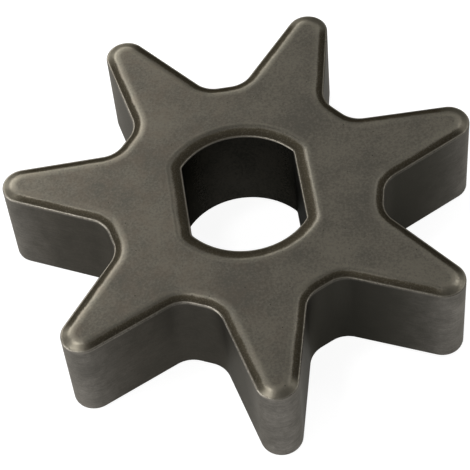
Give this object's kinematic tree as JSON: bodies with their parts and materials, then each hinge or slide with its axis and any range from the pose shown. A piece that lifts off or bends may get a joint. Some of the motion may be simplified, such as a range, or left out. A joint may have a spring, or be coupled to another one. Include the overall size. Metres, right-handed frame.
{
  "type": "chainsaw sprocket",
  "caption": "Star-shaped chain sprocket of sintered steel with straight-flanked round-tipped teeth, bevelled faces and a double-D bore; drives the chain of an electric chainsaw.",
  "frame": {"origin": "on the bore axis, in the plane of the lower face", "axes": "+Z along the bore axis from the lower face to the upper face; -Y through the middle of one tooth; the bore flats face -X and +X"},
  "size_m": [0.0338, 0.0331, 0.0077],
  "materials": {
    "sintered_steel": "brown-grey sintered steel with a fine grain, satin, brighter on worn edges"
  },
  "bodies": {
    "root": {"sprocket": "sintered_steel"}
  },
  "joints": []
}
